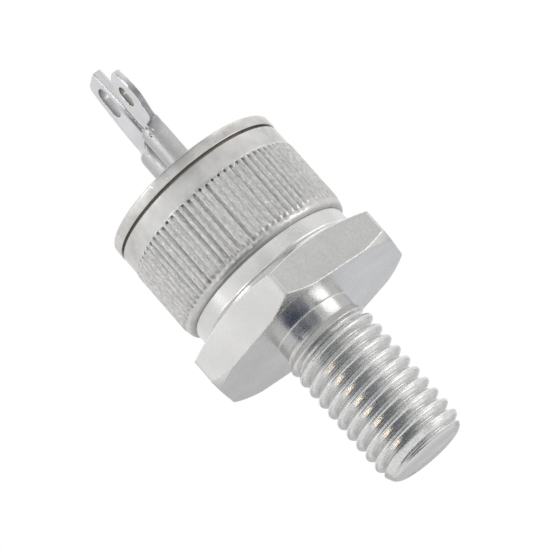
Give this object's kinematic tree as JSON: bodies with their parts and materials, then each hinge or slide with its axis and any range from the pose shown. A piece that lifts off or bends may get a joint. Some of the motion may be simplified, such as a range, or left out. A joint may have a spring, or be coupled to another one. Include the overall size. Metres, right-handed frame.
{
  "type": "triac",
  "caption": "Stud-mount power triac: knurled can on a hexagon base with a threaded stud, and glass-sealed tubular terminals flattened into pierced ears.",
  "frame": {"origin": "on the stud's axis, in the plane of the seating face, where the stud leaves the hexagon", "axes": "+Z along the stud's axis from the stud's end to the terminals; two corners of the hexagon lie on the Y axis, and +X comes out of a flat"},
  "size_m": [0.0142, 0.0166, 0.0336],
  "materials": {
    "plated_base": "nickel-plated copper, turned, with soft reflections",
    "plated_can": "satin nickel plating over a knurled wall",
    "plated_lid": "satin nickel plating",
    "plated_terminal": "pressed, plated tube",
    "seal_glass": "dark opaque sealing glass",
    "weld_ring": "dull tan, tarnished",
    "solder": "dull grey solder",
    "support_metal": "ground",
    "silicon": "polished dark grey",
    "coating": "matt white silicone rubber",
    "contact_copper": "satin copper",
    "lead_copper": "drawn copper"
  },
  "bodies": {
    "root": {"hex_stud_base": "plated_base", "can_solder": "solder", "knurled_can": "plated_can", "weld_ring": "weld_ring", "lid": "plated_lid", "main_glass_seal": "seal_glass", "gate_glass_seal": "seal_glass", "main_terminal": "plated_terminal", "gate_terminal": "plated_terminal", "base_preform": "solder", "support_plate": "support_metal", "pellet_preform": "solder", "silicon_pellet": "silicon", "junction_coating": "coating", "contact_preform": "solder", "contact_plate": "contact_copper", "gate_preform": "solder", "gate_contact": "contact_copper", "main_lead": "lead_copper", "gate_lead": "lead_copper"}
  },
  "joints": []
}
